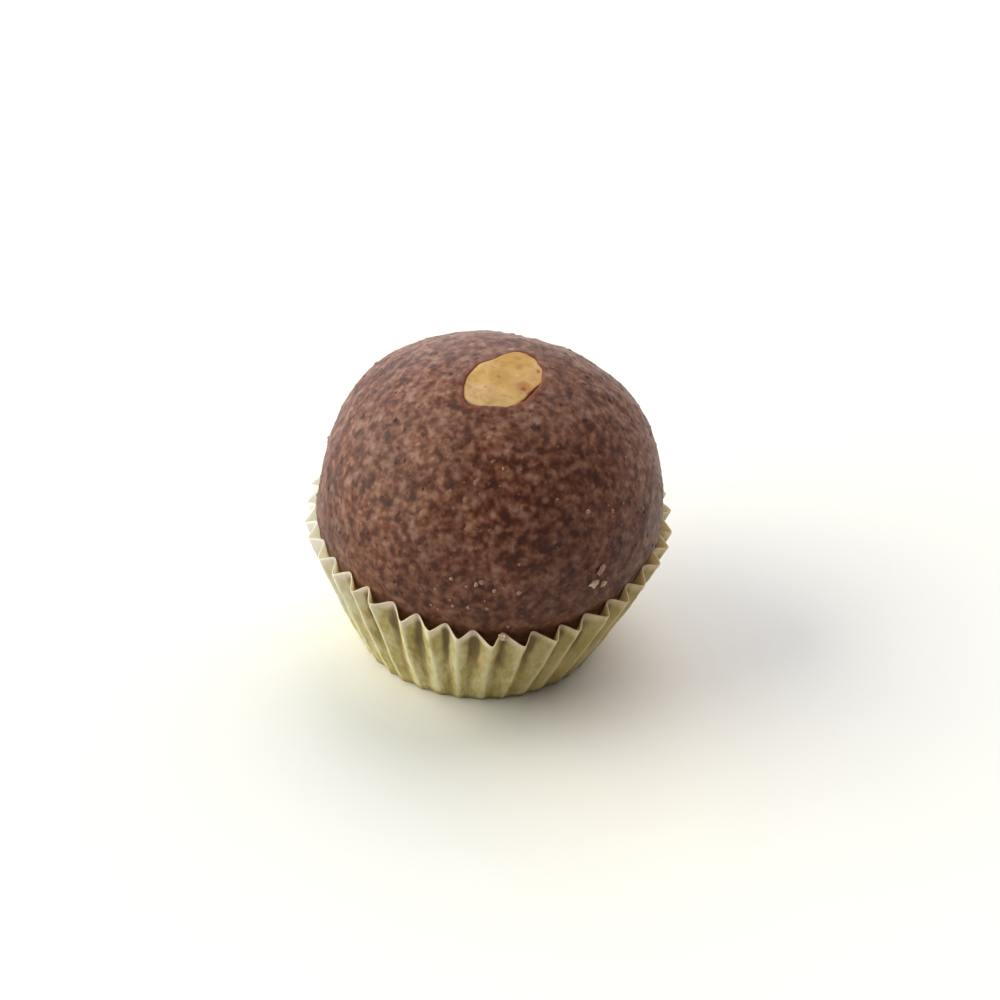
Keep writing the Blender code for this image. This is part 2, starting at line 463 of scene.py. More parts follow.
def nutOutline(angle):
    degrees = math.degrees(angle) % 360
    first = int(degrees)
    part = degrees - first
    return outlineTable[first % 360] * (1 - part) + outlineTable[(first + 1) % 360] * part


def faceHeight(x, y):
    return -x * x / (2 * nutLook["lengthwiseBend"]) - y * y / (2 * nutLook["crosswiseBend"])


def nutPlace():
    way = direction(nutLook["azimuth"], nutLook["elevation"])
    upright = Vector((0, 0, 1)).rotation_difference(way).to_matrix().to_4x4()
    surface = ballLook["centre"] + way * (ballLook["radius"] + lumpHeight(way))
    turn = Matrix.Rotation(math.radians(nutLook["longAxis"]), 4, "Z")
    aside = Matrix.Translation((*nutLook["middle"], 0))
    return Matrix.Translation(surface - way * nutLook["faceDrop"]) @ upright @ turn @ aside


def undersideDepth(share):
    for (outer, high), (inner, low) in zip(nutLook["underside"], nutLook["underside"][1:]):
        if share >= inner:
            part = (outer - share) / (outer - inner)
            return (high + (low - high) * part) * nutLook["depth"]
    return nutLook["depth"]


# Paper case. Azimuths are measured from the front, towards the right.

caseSizes = {
    "Flutes": 38,
    "Columns Per Flute": 16,
    "Wall Rows": 44,
    "Floor Rows": 9,
    "Flute Turn": math.radians(-2.8),        # where one inner fold stands
    "Foot Inner Radius": 0.0160,
    "Foot Outer Radius": 0.01645,
    "Rim Inner Radius": 0.02345,
    "Flute Depth": 0.00150,
    "Rim Centre": 0.0007,        # how far the rim stands to the right of the base
    "Rim Height": 0.0199,
    "Rim Dip": 0.0026,
    "Dip Azimuth": math.radians(14.0),
    "Dip Spread": math.radians(38.0),
    "Fold Drop": 0.0010,
    "Inner Bow": 0.25,
    "Outer Bow": 0.12,
    "Paper": 0.00010,
    "Crispness": 0.84,           # from a soft wave at 0 to sharp folds at 1
    "Bluntness": 1.12,           # above 1 the inner folds are rounder than the outer ones
    "Wander": 0.07,              # how unevenly the folds are spaced, in flutes
    "Uneven": 0.26,              # how far a crest stands off the middle of its flute
    "Lean": 0.20,                # the same, towards the right, where the case was pushed
    "Lean Azimuth": math.radians(42.0),
    "Lean Spread": math.radians(30.0),
    "Ragged": 0.0007,            # how unevenly the rim is cut
    "Wrinkle": 0.00026,
}


def rimHeight(azimuth):
    off = (azimuth - caseSizes["Dip Azimuth"] + math.pi) % math.tau - math.pi
    dip = math.exp(-((off / caseSizes["Dip Spread"]) ** 2))
    return caseSizes["Rim Height"] - caseSizes["Rim Dip"] * dip


def innerFoldRadius(share):
    bowed = (1 + caseSizes["Inner Bow"]) * share - caseSizes["Inner Bow"] * share * share
    foot = caseSizes["Foot Inner Radius"]
    return foot + (caseSizes["Rim Inner Radius"] - foot) * bowed


def caseTree(finish):
    tree, given = newTree("flutedCase", caseSizes)

    def gathered(azimuth, middle, spread):
        # 1 at an azimuth, falling smoothly away on both sides of it
        off = calc("MODULO", azimuth - middle + 3 * math.pi, math.tau) - math.pi
        off = off / spread
        return calc("EXPONENT", off * off * -1.0)

    rows = given["Wall Rows"] + given["Floor Rows"] + 1
    grid = put(tree, "GeometryNodeMeshGrid", Size_X=1.0, Size_Y=1.0, Vertices_Y=rows,
               Vertices_X=given["Flutes"] * given["Columns Per Flute"] + 1)
    x, y, _ = axes(position(tree))
    around = x + 0.5
    up = y + 0.5
    floorPart = given["Floor Rows"] / (rows - 1)
    floorShare = remap(up, 0.0, floorPart)
    share = remap(up, floorPart, 1.0)
    azimuth = around * math.tau + given["Flute Turn"]
    sine = calc("SINE", azimuth)
    cosine = calc("COSINE", azimuth)
    ring = joined(sine, cosine, share * 0.35)
    wander = noiseAt(ring, 0.22, detail=1.0) - 0.5
    turn = around * given["Flutes"] + wander * (given["Wander"] * 4.0)
    flute = calc("FLOOR", calc("MODULO", turn + given["Flutes"], given["Flutes"]))
    part = calc("FRACT", turn)

    def perFlute(offset):
        return drawnFrom(tree, flute + offset)[0] - 0.5

    # where the crest stands between its two inner folds
    pushed = gathered(azimuth, given["Lean Azimuth"], given["Lean Spread"])
    crest = perFlute(0.37) * given["Uneven"] + 0.5 + pushed * given["Lean"]
    rise = remap(part, 0.0, crest, 0.0, 0.5)
    fall = remap(part, crest, 1.0, 0.0, 0.5)
    wave = calc("COSINE", (rise + fall) * math.tau)
    crisp = given["Crispness"]
    bent = calc("ARCSINE", wave * crisp) / calc("ARCSINE", crisp)
    fold = calc("POWER", 0.5 - bent * 0.5, given["Bluntness"])

    dip = gathered(azimuth, given["Dip Azimuth"], given["Dip Spread"])
    rim = given["Rim Height"] - given["Rim Dip"] * dip
    drop = given["Fold Drop"] * (perFlute(5.61) * 0.5 + 1.0)
    height = rim - drop * fold + (noiseAt(ring, 0.12) - 0.5) * given["Ragged"]
    deeper = dip * 0.12 + 1.0 + perFlute(9.13) * 0.18
    rimOuter = given["Rim Inner Radius"] + given["Flute Depth"] * deeper

    def leaning(foot, top, bow):
        return foot + (top - foot) * ((bow + 1.0) * share - bow * (share * share))

    inner = leaning(given["Foot Inner Radius"], given["Rim Inner Radius"], given["Inner Bow"])
    outer = leaning(given["Foot Outer Radius"], rimOuter, given["Outer Bow"])
    # the folds soften towards the base
    foldHere = fold + (0.6 - fold) * remap(share, 0.05, 0.4, 0.3, 0.0)
    radius = inner + (outer - inner) * foldHere
    at = joined(sine * radius, cosine * radius, height * share * 0.5)
    creased = noiseAt(at, 0.0030, detail=3.0, roughness=0.62) - 0.5
    held = remap(share, 0.0, 0.2) * (fold + 0.35)
    radius = (radius + creased * held * (given["Wrinkle"] * 2.0)) * floorShare
    spot = joined(sine * radius + given["Rim Centre"] * share, cosine * radius * -1.0,
                  height * share + given["Paper"] * 0.5)
    sheet = stored(tree, grid.outputs["Mesh"], "fold", fold)
    sheet = stored(tree, sheet, "share", share)
    closed = put(tree, "GeometryNodeMergeByDistance", Distance=0.000001,
                 Geometry=moved(tree, sheet, Position=spot))
    closeTree(tree, closed.outputs["Geometry"], finish)
    return tree


paperLook = {
    "oiled": linear(188, 166, 96),
    "dampAndShade": linear(200, 179, 117),
    "plain": linear(220, 200, 149),
    "dryAndBacklit": linear(238, 226, 212),
    "ridgeHighlight": linear(234, 218, 172),
    "touchedAndShaded": linear(92, 72, 16),
    "rim": linear(236, 204, 182),
    "inside": linear(136, 112, 60),
    "shaded": linear(138, 120, 62),
    "foot": linear(128, 106, 44),
    "tanned": linear(206, 154, 92),
    "fibres": (linear(120, 110, 80), linear(250, 245, 225)),
    "tannedAt": Vector((-0.0140, -0.0184, 0.0140)),
    "backlitSide": Vector((-0.93, 0.37, 0.0)),
    "back": Vector((0.0, 1.0, 0.0)),
    "shadedSide": Vector((0.90, -0.44, 0.0)),
    "stainSize": 0.0044,
    "tannedSize": 0.0030,
    "waverSize": 0.0020,
    "blotchSize": 0.0014,
    "fibreSize": 0.00035,
}


def paperFinish():
    finish, tree, shader = newFinish("oiledPaper")
    look = paperLook
    spot = objectPlace(tree)
    fold = attribute(tree, "fold")
    share = attribute(tree, "share")
    # coordinates that follow the leaning wall, drawn out along its folds
    out = vectorCalc("NORMALIZE", spot * (1.0, 1.0, 0.0))
    drawn = scaled(out, 0.022) + spot * (0.15, 0.15, 0.32)
    stainAndShade = noiseAt(spot, look["stainSize"], detail=4.0, roughness=0.6)
    colour = ramp(stainAndShade, ((0.34, look["plain"]), (0.47, look["dampAndShade"]), (0.60, look["oiled"])))
    blotch = noiseAt(drawn, look["blotchSize"], detail=3.0, roughness=0.6)
    colour = tinted(colour, look["plain"], blotch, 0.50, 0.66, 0.6)
    colour = tinted(colour, look["foot"], blotch, 0.46, 0.32, 0.45)
    # paler crests and darker inner folds: painted highlight and shade along the folds, broken up by
    # the blotches
    foldLightAndBlotch = fold + (blotch - 0.5) * 2.2
    colour = tinted(colour, look["ridgeHighlight"], foldLightAndBlotch, 0.62, 1.05, 0.60)
    colour = tinted(colour, look["foot"], foldLightAndBlotch, 0.38, -0.10, 0.55)
    # dry and pale on one side and at the back, most of all high up; the pale side towards the lamps
    # is also painted light shining through the paper
    side = vectorCalc("DOT_PRODUCT", spot, look["backlitSide"])
    behind = vectorCalc("DOT_PRODUCT", spot, look["back"])
    upper = share + (stainAndShade - 0.5) * 1.4
    dryAndBacklitShare = calc("MAXIMUM", remap(side, 0.006, 0.023, 0.0, 0.95),
                    remap(behind, -0.001, 0.006, 0.0, 0.90))
    dryAndBacklitShare = dryAndBacklitShare * remap(upper, 0.30, 0.75, 0.35, 1.0, smooth=True)
    colour = blend(dryAndBacklitShare, colour, look["dryAndBacklit"])
    # painted shade on the side away from the lamps
    shaded = remap(vectorCalc("DOT_PRODUCT", spot, look["shadedSide"]), 0.005, 0.019)
    colour = blend(shaded * 0.8, colour, look["shaded"])
    # browner stains, the strongest at the front left
    patch = noiseAt(drawn + (0.02, 0.01, 0.04), look["tannedSize"])
    aside = vectorCalc("DISTANCE", spot, look["tannedAt"])
    patch = patch + remap(aside, 0.0032, 0.0012, 0.0, 0.26)
    tanned = remap(patch, 0.56, 0.74, 0.0, 0.65, smooth=True) * (1.0 - dryAndBacklitShare)
    colour = blend(tanned, colour, look["tanned"])
    # oil and the dark ball show through where the inner folds touch it, and painted shade darkens
    # these recessed folds
    wavy = noiseAt(drawn, look["waverSize"]) - 0.5
    inside = remap(fold + wavy, 0.40, 0.06, smooth=True)
    above = remap(share + wavy * 0.4, 0.40, 0.68, smooth=True)
    # the touched colour and the inward face's painted shade fade out where the paper is dry and
    # painted backlit
    wetNotBacklit = remap(dryAndBacklitShare, 0.1, 0.7, 0.90, 0.0)
    colour = blend(above * inside * wetNotBacklit, colour, look["touchedAndShaded"])
    # the paper's inward face is painted darker and browner, as the shade inside the case
    normal = put(tree, "ShaderNodeNewGeometry").outputs["True Normal"]
    facing = vectorCalc("DOT_PRODUCT", Signal(normal), out)
    colour = blend(calc("LESS_THAN", facing, 0.0) * wetNotBacklit, colour, look["inside"])
    # the cut edge stayed dry; its pale band is painted fainter on the shaded side
    edge = remap(share + wavy * 0.22, 0.90, 0.98, smooth=True)
    edge = edge * remap(shaded, 0.3, 1.0, 0.85, 0.35)
    colour = blend(edge, colour, blend(dryAndBacklitShare, look["rim"], look["dryAndBacklit"]))
    # a painted highlight along each crest
    colour = tinted(colour, look["ridgeHighlight"], fold, 0.90, 1.0, 0.28)
    # darker along the very base
    colour = tinted(colour, look["foot"], share, 0.07, 0.01, 0.6)
    fibre = noiseAt(drawn, look["fibreSize"])
    colour = blend(0.14, colour, blend(fibre, *look["fibres"]), "OVERLAY")
    setFinish(shader, colour, fibre, 0.25, 0.00006, Roughness=remap(stainAndShade, 0.3, 0.7, 0.72, 0.48),
              Subsurface_Weight=0.9, Subsurface_Radius=(1.0, 0.95, 0.8), Subsurface_Scale=0.0007)
    return finish


def thicken(carrier):
    wall = carrier.modifiers.new("paper", "SOLIDIFY")
    wall.thickness = caseSizes["Paper"]
    wall.offset = 0.0


paperCase = grown("paperCase", None, caseTree(paperFinish()), caseSizes, thicken)
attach(paperCase, "root")
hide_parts("paper_case")
print("paper case made")


# Ball of meal

mealLook = {
    "cell": 0.00074,             # grains pressed into the skin
    "coarseCell": 0.00180,
    "spotCell": 0.00130,         # dark specks, one in some of these cells
    "softness": 0.5,
    "pullSize": 0.0013,
    "waver": 0.00042,
    "meltedSize": 0.00118,
    "dustSize": 0.00065,
    "grainDustSize": 0.0006,
    "broadSize": 0.0060,
    "hueShare": 0.4,             # how much each grain's own draw tells in its hue
    "bareCells": 0.45,           # share of the specks' cells that have none
    "spotStrength": 0.60,
    "stretch": ((0.72, 0.72, 0.55), (1.35, 1.35, 0.85)),     # least and most, along x, y and z
    "lean": 0.35,                # how far a grain leans at most, in radians
    "kneadSize": 0.0004,
    "flour": 0.20,
    "highest": cadBox[1][2] - 0.00003,
    "easing": 0.0002,
    "palette": (
        (0.00, linear(66, 24, 8)), (0.20, linear(86, 40, 21)), (0.42, linear(109, 61, 41)),
        (0.62, linear(123, 79, 61)), (0.82, linear(134, 95, 79)), (1.00, linear(143, 107, 92)),
    ),
    # size of the patches that turn the colour, where they are drawn from, and both tints
    "turns": (
        (0.0022, (0.0, 0.0, 0.0), (1.03, 0.98, 0.98), (0.97, 1.015, 1.0)),
        (0.0026, (0.03, 0.05, 0.01), (1.01, 1.0, 0.88), (0.99, 0.995, 1.12)),
    ),
    "broadTints": ((0.86, 0.86, 0.86), (1.12, 1.12, 1.12)),
    "spot": linear(62, 25, 16),
    # painted shade in the crevice round the nut
    "creviceShade": linear(116, 46, 18),
    # painted shade on the side away from the lamps
    "sideShade": (0.88, 0.81, 0.71),
    "sideShadeWay": direction(-48.0, 24.0),
    # a greyish dusting, with painted sheen, on the back of the crown towards the lamps
    "dustAndSheen": linear(172, 150, 150),
    "dustAndSheenSide": direction(98.0, 56.0),
    "dampAndShade": (0.72, 0.63, 0.48),  # the lower part is painted darker, as shade
    # painted light coming through the paper onto the ball behind the rim, brightest at the front
    "held": linear(118, 76, 54),
    "heldFront": linear(188, 130, 72),
}


def onSkin(place):
    # the place on a plain sphere under each point, so that the relief doesn't shift the pattern
    return scaled(vectorCalc("NORMALIZE", place - ballLook["centre"]), ballLook["radius"])


def mealCells(place):
    # fine and coarse cells of meal, pulled out of shape alike in the relief and in the colours
    flat = onSkin(place)
    pulled = flat + scaled(wobble(flat, mealLook["pullSize"]), mealLook["waver"] * 2)
    fine = cellsAt(pulled, mealLook["cell"], mealLook["softness"])
    coarse = cellsAt(pulled, mealLook["coarseCell"], mealLook["softness"])
    return flat, pulled, fine, coarse


skinSizes = {
    "Fine Height": 0.00003,
    "Coarse Height": 0.00011,
    "Highest": mealLook["highest"],
}


def keptUnder(tree, geometry, highest):
    # eases what nears a height down, so that all stays under it and nothing is pressed flat
    x, y, z = axes(position(tree))
    room = mealLook["easing"]
    start = highest - room
    over = calc("MAXIMUM", z - start, 0.0)
    eased = (1.0 - calc("EXPONENT", over / -room)) * room
    return moved(tree, geometry, Position=joined(x, y, calc("MINIMUM", z, start) + eased))


def skinTree(finish):
    tree, given = newTree("mealSkin", skinSizes)
    flat, _, fine, coarse = mealCells(position(tree))
    lift = (remap(fine[0], 0.0, 0.75, 1.0, 0.0) - 0.5) * given["Fine Height"]
    tall = remap(coarse[0], 0.0, 0.8, 1.0, 0.0) - 0.55
    tall = tall * remap(coarse[1][0], 0.3, 1.0, -0.4, 1.0)
    lift = (lift + tall * given["Coarse Height"]) * named(tree, "free")
    raised = moved(tree, given["Geometry"], Offset=scaled(vectorCalc("NORMALIZE", flat), lift))
    closeTree(tree, keptUnder(tree, raised, given["Highest"]), finish)
    return tree


def mealColour(tone, place, hues):
    # a grain's colour from its tone, turned by two draws to red or green and to tan or grey
    colour = ramp(tone, mealLook["palette"])
    for hue, (size, aside, first, second) in zip(hues[1:], mealLook["turns"]):
        drift = calc("MULTIPLY_ADD", hue, mealLook["hueShare"], noiseAt(place + aside, size))
        colour = filtered(colour, blend(remap(drift, 0.42, 0.98), first, second))
    broad = remap(noiseAt(place, mealLook["broadSize"]), 0.34, 0.66)
    colour = filtered(colour, blend(broad, *mealLook["broadTints"]))
    # painted shade: the side away from the lamps is darker and browner
    beside = vectorCalc("DOT_PRODUCT", place, mealLook["sideShadeWay"])
    sideShade = filtered(colour, mealLook["sideShade"])
    colour = tinted(colour, sideShade, beside, 0.0203, 0.0229, smooth=True)
    # a greyish dusting, with painted sheen, towards the lamps at the back of the crown
    behind = vectorCalc("DOT_PRODUCT", place, mealLook["dustAndSheenSide"])
    colour = tinted(colour, mealLook["dustAndSheen"], behind, 0.0185, 0.0232, 0.16)
    # painted shade, darker towards the bottom
    dampAndShade = filtered(colour, mealLook["dampAndShade"])
    return tinted(colour, dampAndShade, axes(place)[2], 0.012, -0.001, smooth=True)


def meltedTone(place):
    # the soft mottling of grains that ran together
    return remap(noiseAt(place, mealLook["meltedSize"], detail=1.2), 0.28, 0.72, 0.0, 0.88)


def floury(shader, colour, dust):
    # a dull skin with a dusting of flour that shows where it is seen along the surface
    setFinish(shader, colour, dust, 0.15, 0.00005, Roughness=remap(dust, 0.3, 0.7, 0.68, 0.52),
              Specular_IOR_Level=0.32, Sheen_Weight=mealLook["flour"], Sheen_Roughness=0.4,
              Sheen_Tint=(1.0, 0.86, 0.82, 1.0))


def mealFinish():
    finish, tree, shader = newFinish("pressedMeal")
    flat, pulled, (gap, fineDraws), (_, coarseDraws) = mealCells(objectPlace(tree))
    dust = noiseAt(flat, mealLook["dustSize"])
    shade = meltedTone(flat) + remap(fineDraws[0], 0.1, 0.9, -0.18, 0.18)
    shade = shade + remap(coarseDraws[0], 0.1, 0.9, -0.12, 0.12)
    colour = mealColour(shade, flat, fineDraws)
    # dark specks of husk
    away, draws = cellsAt(pulled, mealLook["spotCell"])
    wide = remap(draws[1], 0.0, 1.0, 0.16, 0.34)
    ragged = away + remap(dust, 0.3, 0.7, -0.12, 0.12)
    speck = remap(ragged, wide, wide * 0.1, smooth=True)
    speck = speck * calc("GREATER_THAN", draws[0], mealLook["bareCells"])
    colour = blend(speck * mealLook["spotStrength"], colour, mealLook["spot"])
    colour = tinted(colour, mealLook["spot"], gap, 0.40, 0.80, 0.22)
    # painted shade in the crevice round the nut and beside its openings
    colour = blend(attribute(tree, "creviceShade"), colour, mealLook["creviceShade"])
    # painted light that comes through the paper onto the ball behind the rim
    held = attribute(tree, "held")
    ahead = remap(axes(flat)[1], -0.006, -0.019)
    through = blend(ahead, mealLook["held"], mealLook["heldFront"])
    through = blend(remap(held, 0.45, 0.9), mealLook["held"], through)
    floury(shader, tinted(colour, through, held, 0.0, 0.5, 0.75), dust)
    return finish


# The skin is pushed under the nut, and a finely cut lip of meal closes round the nut's edge

lipLook = {
    "gap": 0.00006,
    "sunkTo": 0.00030,           # the skin is down to the pocket this far outside the nut
    "wholeFrom": 0.00080,        # and is whole from here on
    # distance outside the nut's edge, height over the skin, painted shade of the crevice
    "section": (
        (0.00150, -0.00016, 0.0), (0.00130, -0.00002, 0.0), (0.00110, 0.00003, 0.0),
        (0.00085, 0.00005, 0.03), (0.00060, 0.00005, 0.12), (0.00040, 0.00004, 0.25),
        (0.00024, 0.00001, 0.45), (0.00012, -0.00003, 0.65), (0.00004, -0.00009, 0.9),
        (0.00000, -0.00014, 1.0), (0.00000, -0.00028, 1.0), (0.00006, -0.00052, 1.0),
        (0.00070, -0.00075, 1.0),
    ),
    "edgeReach": 0.0009,         # how far out the shape of the edge still tells
    # angle about the nut in degrees, half width in degrees, opening in metres
    "openings": ((177, 13, 0.00038), (-82, 26, 0.00042), (110, 40, 0.00008)),
    "stainAndShade": 2600.0,             # painted shade beside an opening, for each metre that it is wide
    "openingShadeReach": 0.0013,
    "leastOpening": -0.00007,
    "creep": 0.00016,            # how far meal lies over the nut here
    "creepAngle": 204.0,
    "creepSpread": 30.0,
    "creepLift": 0.00010,
    "ragged": 0.00012,
    "raggedSizes": (0.0009, 0.0004),
    "smoothTo": 0.0001,          # the lip's relief starts this far out
    "reliefBand": 0.0008,        # and is full this much further
    "sides": 330,
}


def near(angle, middle, spread):
    off = (math.degrees(angle) - middle + 180) % 360 - 180
    return math.exp(-(abs(off) / spread) ** 4)


def lipEdge(angle):
    # how far the lip's edge stands off the nut's outline, its creep over the nut, its opening
    opening = max(width * near(angle, middle, spread)
                  for middle, spread, width in lipLook["openings"])
    creep = near(angle, lipLook["creepAngle"], lipLook["creepSpread"])
    along = Vector((math.cos(angle), math.sin(angle), 0)) * nutOutline(angle)
    coarse, fine = (noise.noise(along / size) for size in lipLook["raggedSizes"])
    edge = lipLook["leastOpening"] + opening - lipLook["creep"] * creep
    return edge + (coarse + 0.6 * fine) * lipLook["ragged"] * (0.35 + creep), creep, opening


def skinRadius(way):
    crag = noise.noise(way * (ballLook["radius"] / ballLook["cragSize"]))
    return ballLook["radius"] + lumpHeight(way) + crag * ballLook["cragHeight"]


def skinHeight(x, y, into, out):
    # height of the ball's skin in the nut's own frame
    z = 0.0
    middle = into @ ballLook["centre"]
    for step in range(3):
        way = (out @ Vector((x, y, z)) - ballLook["centre"]).normalized()
        side = (x - middle.x) ** 2 + (y - middle.y) ** 2
        z = middle.z + math.sqrt(max(skinRadius(way) ** 2 - side, 0.0))
    return z


def pocketed(point, into, out):
    # a point of the skin, let down under the nut, and how much relief it may have
    local = into @ point
    if local.z < -nutLook["depth"] * 1.5:
        return point, 1.0
    reach = math.hypot(local.x, local.y)
    edge = nutOutline(math.atan2(local.y, local.x))
    part = (reach - edge - lipLook["sunkTo"]) / (lipLook["wholeFrom"] - lipLook["sunkTo"])
    if part >= 1:
        return point, min(1.0, 0.3 * part + 0.1)
    depth = undersideDepth(min(reach / edge, 1.0)) + lipLook["gap"]
    part = max(part, 0.0)
    part = part * part * (3 - 2 * part)
    local.z = local.z * part + min(local.z, -depth) * (1 - part)
    return out @ local, 0.0


def joinRows(bm, first, second):
    # quads between two rings of points
    for k in range(len(first)):
        m = (k + 1) % len(first)
        bm.faces.new((first[k], first[m], second[m], second[k]))


def addLip(bm, free, creviceShade, into, out):
    rows = []
    for angle in anglesOf(lipLook["sides"]):
        edge, creep, opening = lipEdge(angle)
        row = []
        for outward, rise, dark in lipLook["section"]:
            hold = max(0.0, 1 - outward / lipLook["edgeReach"])
            reach = nutOutline(angle) + outward + edge * hold
            x = reach * math.cos(angle)
            y = reach * math.sin(angle)
            z = skinHeight(x, y, into, out) + rise
            if creep > 0.02 and rise > -0.0005:
                over = faceHeight(x, y) + lipLook["creepLift"] + rise * 0.8
                z = max(z, z + (over - z) * creep * hold)
            vert = bm.verts.new(out @ Vector((x, y, z)))
            relief = min(1.0, max(0.0, outward - lipLook["smoothTo"]) / lipLook["reliefBand"])
            vert[free] = 0.7 * relief + 0.1
            # painted shade beside the openings
            openingShade = max(0.0, 1 - outward / lipLook["openingShadeReach"]) * opening * lipLook["stainAndShade"]
            vert[creviceShade] = min(1.0, dark * (1 - 0.75 * creep) + openingShade)
            row.append(vert)
        rows.append(row)
    for first, second in zip(rows, rows[1:] + rows[:1]):
        joinRows(bm, first, second)


def ballSkin():
    bm = bmesh.new()
    bmesh.ops.create_icosphere(bm, subdivisions=1, radius=1.0)
    bmesh.ops.subdivide_edges(bm, edges=bm.edges[:], cuts=ballLook["frequency"] - 1,
                              use_grid_fill=True)
    free, creviceShade, held = (bm.verts.layers.float.new(name)
                           for name in ("free", "creviceShade", "held"))
    out = nutPlace()
    into = out.inverted()
    floor = caseSizes["Paper"] + ballLook["seatGap"]
    shown = ballLook["shown"]
    for vert in bm.verts:
        way = vert.co.normalized()
        low = (1 - way.z) / 2
        z = 1 - 2 * (shown * low + (1 - shown) * low ** 8)
        across = math.hypot(way.x, way.y)
        if across > 1e-6:
            spread = math.sqrt(max(0.0, 1 - z * z)) / across
            way = Vector((way.x * spread, way.y * spread, z))
        point = ballLook["centre"] + way * skinRadius(way)
        room = 1.0
        if point.z < floor + ballLook["seatBand"]:
            room = 0.0
            point.z = max(point.z, floor)
        azimuth = math.atan2(point.x, -point.y)
        rim = rimHeight(azimuth)
        share = min(point.z / rim, 1.0)
        axis = Vector((caseSizes["Rim Centre"] * share, 0, point.z))
        limit = innerFoldRadius(share) - caseSizes["Paper"] / 2 - ballLook["paperGap"]
        turn = (azimuth - caseSizes["Flute Turn"]) * caseSizes["Flutes"]
        limit += ballLook["swelling"] * (0.5 - 0.5 * math.cos(turn)) ** 1.5 * share
        limit += max(point.z - rim, 0.0)
        reach = point - axis
        if reach.length > limit:
            point = axis + reach * (limit / reach.length)
            room = min(room, 0.3)
        if way.z > 0.8:
            point, bare = pocketed(point, into, out)
            room = min(room, bare)
        vert.co = point
        vert[free] = room
        below = rim + ballLook["heldFrom"] - point.z
        vert[held] = min(max(below / ballLook["heldBand"], 0.0), 1.0)
    addLip(bm, free, creviceShade, into, out)
    bmesh.ops.recalc_face_normals(bm, faces=bm.faces[:])
    return placed("ballSkin", meshOf("ballSkin", bm))


skin = ballSkin()
ladooBall = grown("ladooBall", skin, skinTree(mealFinish()), skinSizes)
bpy.data.objects.remove(skin)
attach(ladooBall, "root")
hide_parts("ladoo_ball")
print("ball made")


# Grains and crystals, real pieces sunk in the skin

def scatterTree(name, sizes, finish, kind, cut):
    # kind and cut give the mesh of one grain of radius 1; grains keep to the skin's open part
    tree, given = newTree(name, sizes)
    place = position(tree)
    allowed = calc("GREATER_THAN", named(tree, "free"), given["Least Free"])
    allowed = allowed * calc("GREATER_THAN", axes(place)[2], given["Lowest"])
    points = put(tree, "GeometryNodeDistributePointsOnFaces", {"distribute_method": "POISSON"},
                 Mesh=given["Geometry"], Seed=given["Seed"], Distance_Min=given["Spacing"],
                 Density_Max=given["Density"], Density_Factor=allowed)

    def drawn(low, high, offset, kind="FLOAT"):
        node = put(tree, "FunctionNodeRandomValue", {"data_type": kind},
                   Seed=given["Seed"] + offset)
        first = 0 if kind == "FLOAT_VECTOR" else 2
        feed(node.inputs[first], low)
        feed(node.inputs[first + 1], high)
        return Signal(node.outputs[0 if kind == "FLOAT_VECTOR" else 1])

    toned = stored(tree, points.outputs["Points"], "tone", drawn(0.0, 1.0, 5))
    shape = put(tree, kind, **cut)
    sunk = put(tree, "GeometryNodeTransform", Geometry=shape.outputs["Mesh"],
               Translation=joined(0.0, 0.0, given["Sunk"] * -1.0))
    size = drawn(given["Least Radius"], given["Most Radius"], 1)
    stretch = drawn(*mealLook["stretch"], 2, "FLOAT_VECTOR")
    lean = mealLook["lean"]
    spin = joined(drawn(-lean, lean, 7), drawn(-lean, lean, 8), drawn(0.0, math.tau, 3))
    euler = put(tree, "FunctionNodeEulerToRotation", Euler=spin)
    turn = put(tree, "FunctionNodeRotateRotation", {"rotation_space": "LOCAL"},
               Rotation=points.outputs["Rotation"], Rotate_By=euler.outputs["Rotation"])
    planted = put(tree, "GeometryNodeInstanceOnPoints", Points=toned, Scale=scaled(stretch, size),
                  Instance=sunk.outputs["Geometry"], Rotation=turn.outputs["Rotation"])
    real = put(tree, "GeometryNodeRealizeInstances", Geometry=planted.outputs["Instances"])
    kneaded = moved(tree, real.outputs["Geometry"],
                    Offset=scaled(wobble(place, mealLook["kneadSize"]), given["Knead"]))
    closeTree(tree, keptUnder(tree, kneaded, given["Highest"]), finish)
    return tree


def grainFinish():
    finish, tree, shader = newFinish("mealGrain")
    place = objectPlace(tree)
    tone = attribute(tree, "tone")
    flat = onSkin(place)
    shade = meltedTone(flat) + remap(tone, 0.0, 1.0, -0.24, 0.20)
    colour = mealColour(shade, flat, axes(drawnFrom(tree, tone)[1]))
    floury(shader, colour, noiseAt(place, mealLook["grainDustSize"]))
    return finish


def toneFinish(name, stops, roughness, mottle=0.0, specular=0.5):
    # stops give the colours of tones from 0 to 1, which mottle unsettles from place to place
    finish, tree, shader = newFinish(name)
    shade = attribute(tree, "tone")
    if mottle:
        drift = noiseAt(objectPlace(tree), 0.0004)
        shade = shade + remap(drift, 0.3, 0.7, -mottle, mottle)
    colours = [(place, linear(*screen)) for place, screen in stops]
    feed(shader.inputs["Base Color"], ramp(shade, colours))
    shader.inputs["Roughness"].default_value = roughness
    shader.inputs["Specular IOR Level"].default_value = specular
    return finish


